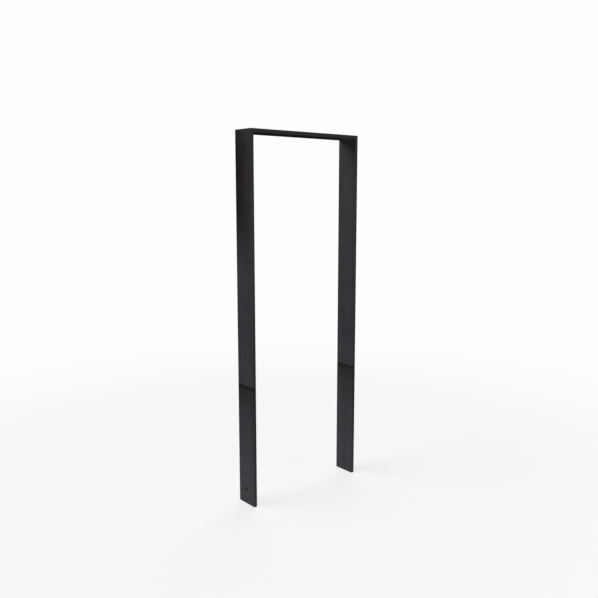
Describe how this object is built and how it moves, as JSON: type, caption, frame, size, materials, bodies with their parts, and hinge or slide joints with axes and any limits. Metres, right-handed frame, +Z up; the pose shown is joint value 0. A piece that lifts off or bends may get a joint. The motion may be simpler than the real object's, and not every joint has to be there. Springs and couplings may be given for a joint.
{
  "type": "in-ground bicycle leaning rail",
  "caption": "Narrow hoop of powder-coated flat steel bar with mitred corners, cast into the ground so that a bicycle can lean on it and be locked to it.",
  "frame": {"origin": "on the finished ground, midway between the two legs and at the middle of the bar's width", "axes": "+Z up the legs, +X across the hoop from the left leg to the right leg, +Y along the bar's width, away from the front"},
  "size_m": [0.45, 0.08, 1.2],
  "materials": {
    "powder_coated_steel": "charcoal powder coat, matt, fine texture"
  },
  "bodies": {
    "root": {"left_leg": "powder_coated_steel", "right_leg": "powder_coated_steel", "top_bar": "powder_coated_steel", "left_cap_weld": "powder_coated_steel", "right_cap_weld": "powder_coated_steel", "left_fillet_weld": "powder_coated_steel", "right_fillet_weld": "powder_coated_steel"}
  },
  "joints": []
}
